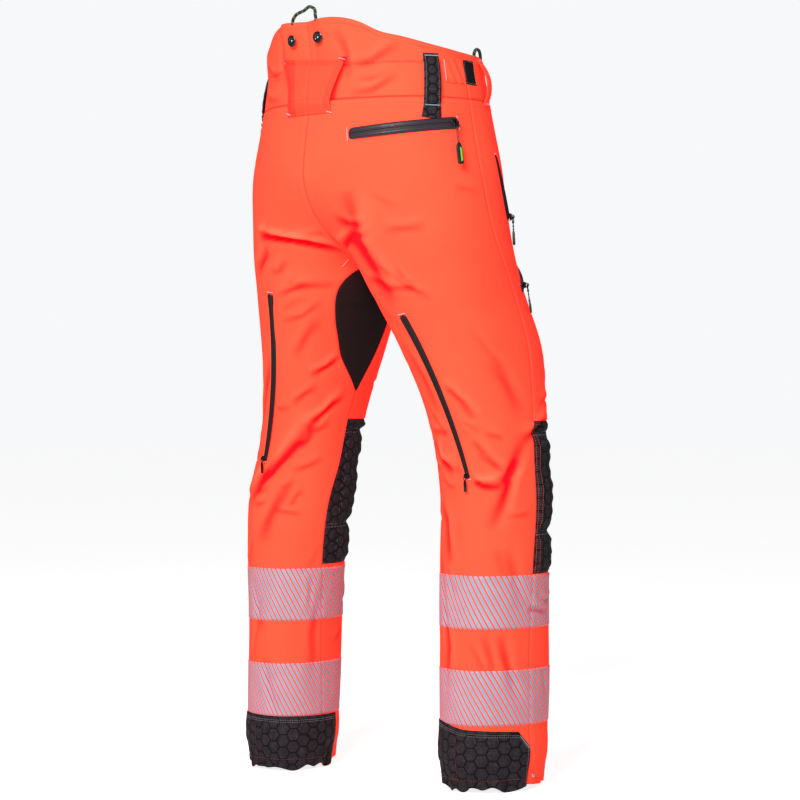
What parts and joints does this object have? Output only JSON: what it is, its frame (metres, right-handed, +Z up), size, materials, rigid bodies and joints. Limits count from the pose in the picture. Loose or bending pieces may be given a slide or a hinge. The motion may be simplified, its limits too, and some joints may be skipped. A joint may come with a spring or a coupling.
{
  "type": "chainsaw trousers",
  "caption": "High-visibility protective work trousers standing open as worn, with a high back, padded legs, reflective bands, zipped pockets, leg vents and brace buttons.",
  "frame": {"origin": "middle of the waist opening, one metre above the hems", "axes": "+Z up the body, the front of the trousers faces -Y, the wearer's right is -X"},
  "size_m": [0.4856, 0.3153, 1.0933],
  "materials": {
    "hivis_shell": "woven high-visibility orange-red, matt",
    "stretch_fabric": "black four-way stretch weave",
    "hex_panel": "black quilted fabric with raised hexagons",
    "reflective_tape": "silver-blue retroreflective tape printed with slanting stripes",
    "zip_tape": "rubber-coated water-repellent tape, low gloss",
    "zip_metal": "black lacquered zinc",
    "pull_rubber": "moulded soft rubber",
    "webbing": "black ribbed webbing",
    "hook_and_loop": "black hook-and-loop pile",
    "gloss_button": "polished moulded plastic",
    "flecked_cord": "black braided cord with lime flecks",
    "pocket_lining": "dark mesh lining",
    "protective_pad": "off-white knitted saw-stopping layers"
  },
  "bodies": {
    "trousers": {"back_belt_loop": "hivis_shell", "back_brace_button_left": "gloss_button", "back_brace_button_right": "gloss_button", "back_leg_left": "hivis_shell", "back_leg_right": "hivis_shell", "back_pocket_bag": "pocket_lining", "back_pocket_zip_tape": "zip_tape", "crotch_gusset": "stretch_fabric", "fly_zip_tape": "zip_tape", "front_brace_button_left": "gloss_button", "front_brace_button_right": "gloss_button", "front_shin_left": "hivis_shell", "front_shin_right": "hivis_shell", "front_thigh_left": "hivis_shell", "front_thigh_right": "hivis_shell", "glove_loop": "flecked_cord", "hand_pocket_bag_left": "pocket_lining", "hand_pocket_bag_right": "pocket_lining", "hand_pocket_left_zip_tape": "zip_tape", "hand_pocket_right_zip_tape": "zip_tape", "hanging_loop": "flecked_cord", "hem_patch_left": "hex_panel", "hem_patch_right": "hex_panel", "knee_panel_left": "hex_panel", "knee_panel_right": "hex_panel", "lower_band_left": "reflective_tape", "lower_band_right": "reflective_tape", "protective_pad_left": "protective_pad", "protective_pad_right": "protective_pad", "side_belt_loop_left": "hivis_shell", "side_belt_loop_right": "hivis_shell", "tab_loop_patch_left": "hook_and_loop", "tab_loop_patch_right": "hook_and_loop", "thigh_pocket_bag": "pocket_lining", "thigh_pocket_zip_tape": "zip_tape", "upper_band_left": "reflective_tape", "upper_band_right": "reflective_tape", "vent_left_zip_tape": "zip_tape", "vent_right_zip_tape": "zip_tape", "waist_stud": "gloss_button", "waistband_back": "hivis_shell", "waistband_left": "hivis_shell", "waistband_right": "hivis_shell", "webbing_loop_left": "webbing", "webbing_loop_right": "webbing"},
    "back_pocket_slider": {"back_pocket_slider": "zip_metal"},
    "back_pocket_pull": {"back_pocket_pull": "pull_rubber"},
    "hand_pocket_left_slider": {"hand_pocket_left_slider": "zip_metal"},
    "hand_pocket_left_pull": {"hand_pocket_left_pull": "pull_rubber"},
    "hand_pocket_right_slider": {"hand_pocket_right_slider": "zip_metal"},
    "hand_pocket_right_pull": {"hand_pocket_right_pull": "pull_rubber"},
    "thigh_pocket_slider": {"thigh_pocket_slider": "zip_metal"},
    "thigh_pocket_pull": {"thigh_pocket_pull": "pull_rubber"},
    "vent_left_slider": {"vent_left_slider": "zip_metal"},
    "vent_left_pull": {"vent_left_pull": "pull_rubber"},
    "vent_right_slider": {"vent_right_slider": "zip_metal"},
    "vent_right_pull": {"vent_right_pull": "pull_rubber"},
    "fly_slider": {"fly_slider": "zip_metal"},
    "waist_tab_left": {"waist_tab_left": "hivis_shell"},
    "waist_tab_right": {"waist_tab_right": "hivis_shell"}
  },
  "joints": [
    {"name": "back_pocket_zip", "type": "hinge", "parent": "trousers", "child": "back_pocket_slider", "pos_m": [-0.04862, -0.01187, -0.08199], "axis": [-0.0524, -0.0929, -0.9943], "range_deg": [0, 57.89]},
    {"name": "back_pocket_pull_swing", "type": "hinge", "parent": "back_pocket_slider", "child": "back_pocket_pull", "pos_m": [-0.1918, 0.03515, -0.07734], "axis": [0.3283, 0.9446, 0], "range_deg": [0, 110]},
    {"name": "hand_pocket_left_zip", "type": "hinge", "parent": "trousers", "child": "hand_pocket_left_slider", "pos_m": [-0.07159, -0.16534, -0.12386], "axis": [0.4003, -0.8799, 0.2562], "range_deg": [0, 16.74]},
    {"name": "hand_pocket_left_pull_swing", "type": "hinge", "parent": "hand_pocket_left_slider", "child": "hand_pocket_left_pull", "pos_m": [0.19793, -0.07236, -0.20294], "axis": [-0.4321, -0.9018, 0], "range_deg": [0, 110]},
    {"name": "hand_pocket_right_zip", "type": "hinge", "parent": "trousers", "child": "hand_pocket_right_slider", "pos_m": [0.0132, -0.21038, -0.1086], "axis": [0.619, 0.7498, -0.2338], "range_deg": [0, 18.53]},
    {"name": "hand_pocket_right_pull_swing", "type": "hinge", "parent": "hand_pocket_right_slider", "child": "hand_pocket_right_pull", "pos_m": [-0.19826, -0.07448, -0.20264], "axis": [-0.4282, 0.9037, 0], "range_deg": [0, 110]},
    {"name": "thigh_pocket_zip", "type": "hinge", "parent": "trousers", "child": "thigh_pocket_slider", "pos_m": [-0.12165, -0.02373, -0.27702], "axis": [-0.5499, 0.2681, 0.791], "range_deg": [0, 26.81]},
    {"name": "thigh_pocket_pull_swing", "type": "hinge", "parent": "thigh_pocket_slider", "child": "thigh_pocket_pull", "pos_m": [-0.19688, -0.10702, -0.2969], "axis": [-0.5781, 0.816, 0], "range_deg": [0, 110]},
    {"name": "vent_left_zip", "type": "hinge", "parent": "trousers", "child": "vent_left_slider", "pos_m": [0.48841, 0.85516, -0.4868], "axis": [-0.8846, 0.3709, -0.2827], "range_deg": [0, 16.34]},
    {"name": "vent_left_pull_swing", "type": "hinge", "parent": "vent_left_slider", "child": "vent_left_pull", "pos_m": [0.17112, 0.06201, -0.54533], "axis": [0.9997, -0.0262, 0], "range_deg": [0, 110]},
    {"name": "vent_right_zip", "type": "hinge", "parent": "trousers", "child": "vent_right_slider", "pos_m": [-0.11946, 0.69882, -0.64338], "axis": [-0.9586, 0.1171, 0.2594], "range_deg": [0, 19.23]},
    {"name": "vent_right_pull_swing", "type": "hinge", "parent": "vent_right_slider", "child": "vent_right_pull", "pos_m": [-0.18324, 0.00918, -0.56354], "axis": [0.9985, 0.054, 0], "range_deg": [0, 110]},
    {"name": "fly_zip", "type": "hinge", "parent": "trousers", "child": "fly_slider", "pos_m": [0.00575, 0.33532, -0.15466], "axis": [0.9999, -0.012, 0.0018], "range_deg": [0, 14]},
    {"name": "waist_tab_left_peel", "type": "hinge", "parent": "trousers", "child": "waist_tab_left", "pos_m": [0.1696, 0.0368, -0.00526], "axis": [0, 0, 1], "range_deg": [0, 100]},
    {"name": "waist_tab_right_peel", "type": "hinge", "parent": "trousers", "child": "waist_tab_right", "pos_m": [-0.1696, 0.0368, -0.00526], "axis": [0, 0, -1], "range_deg": [0, 100]}
  ]
}
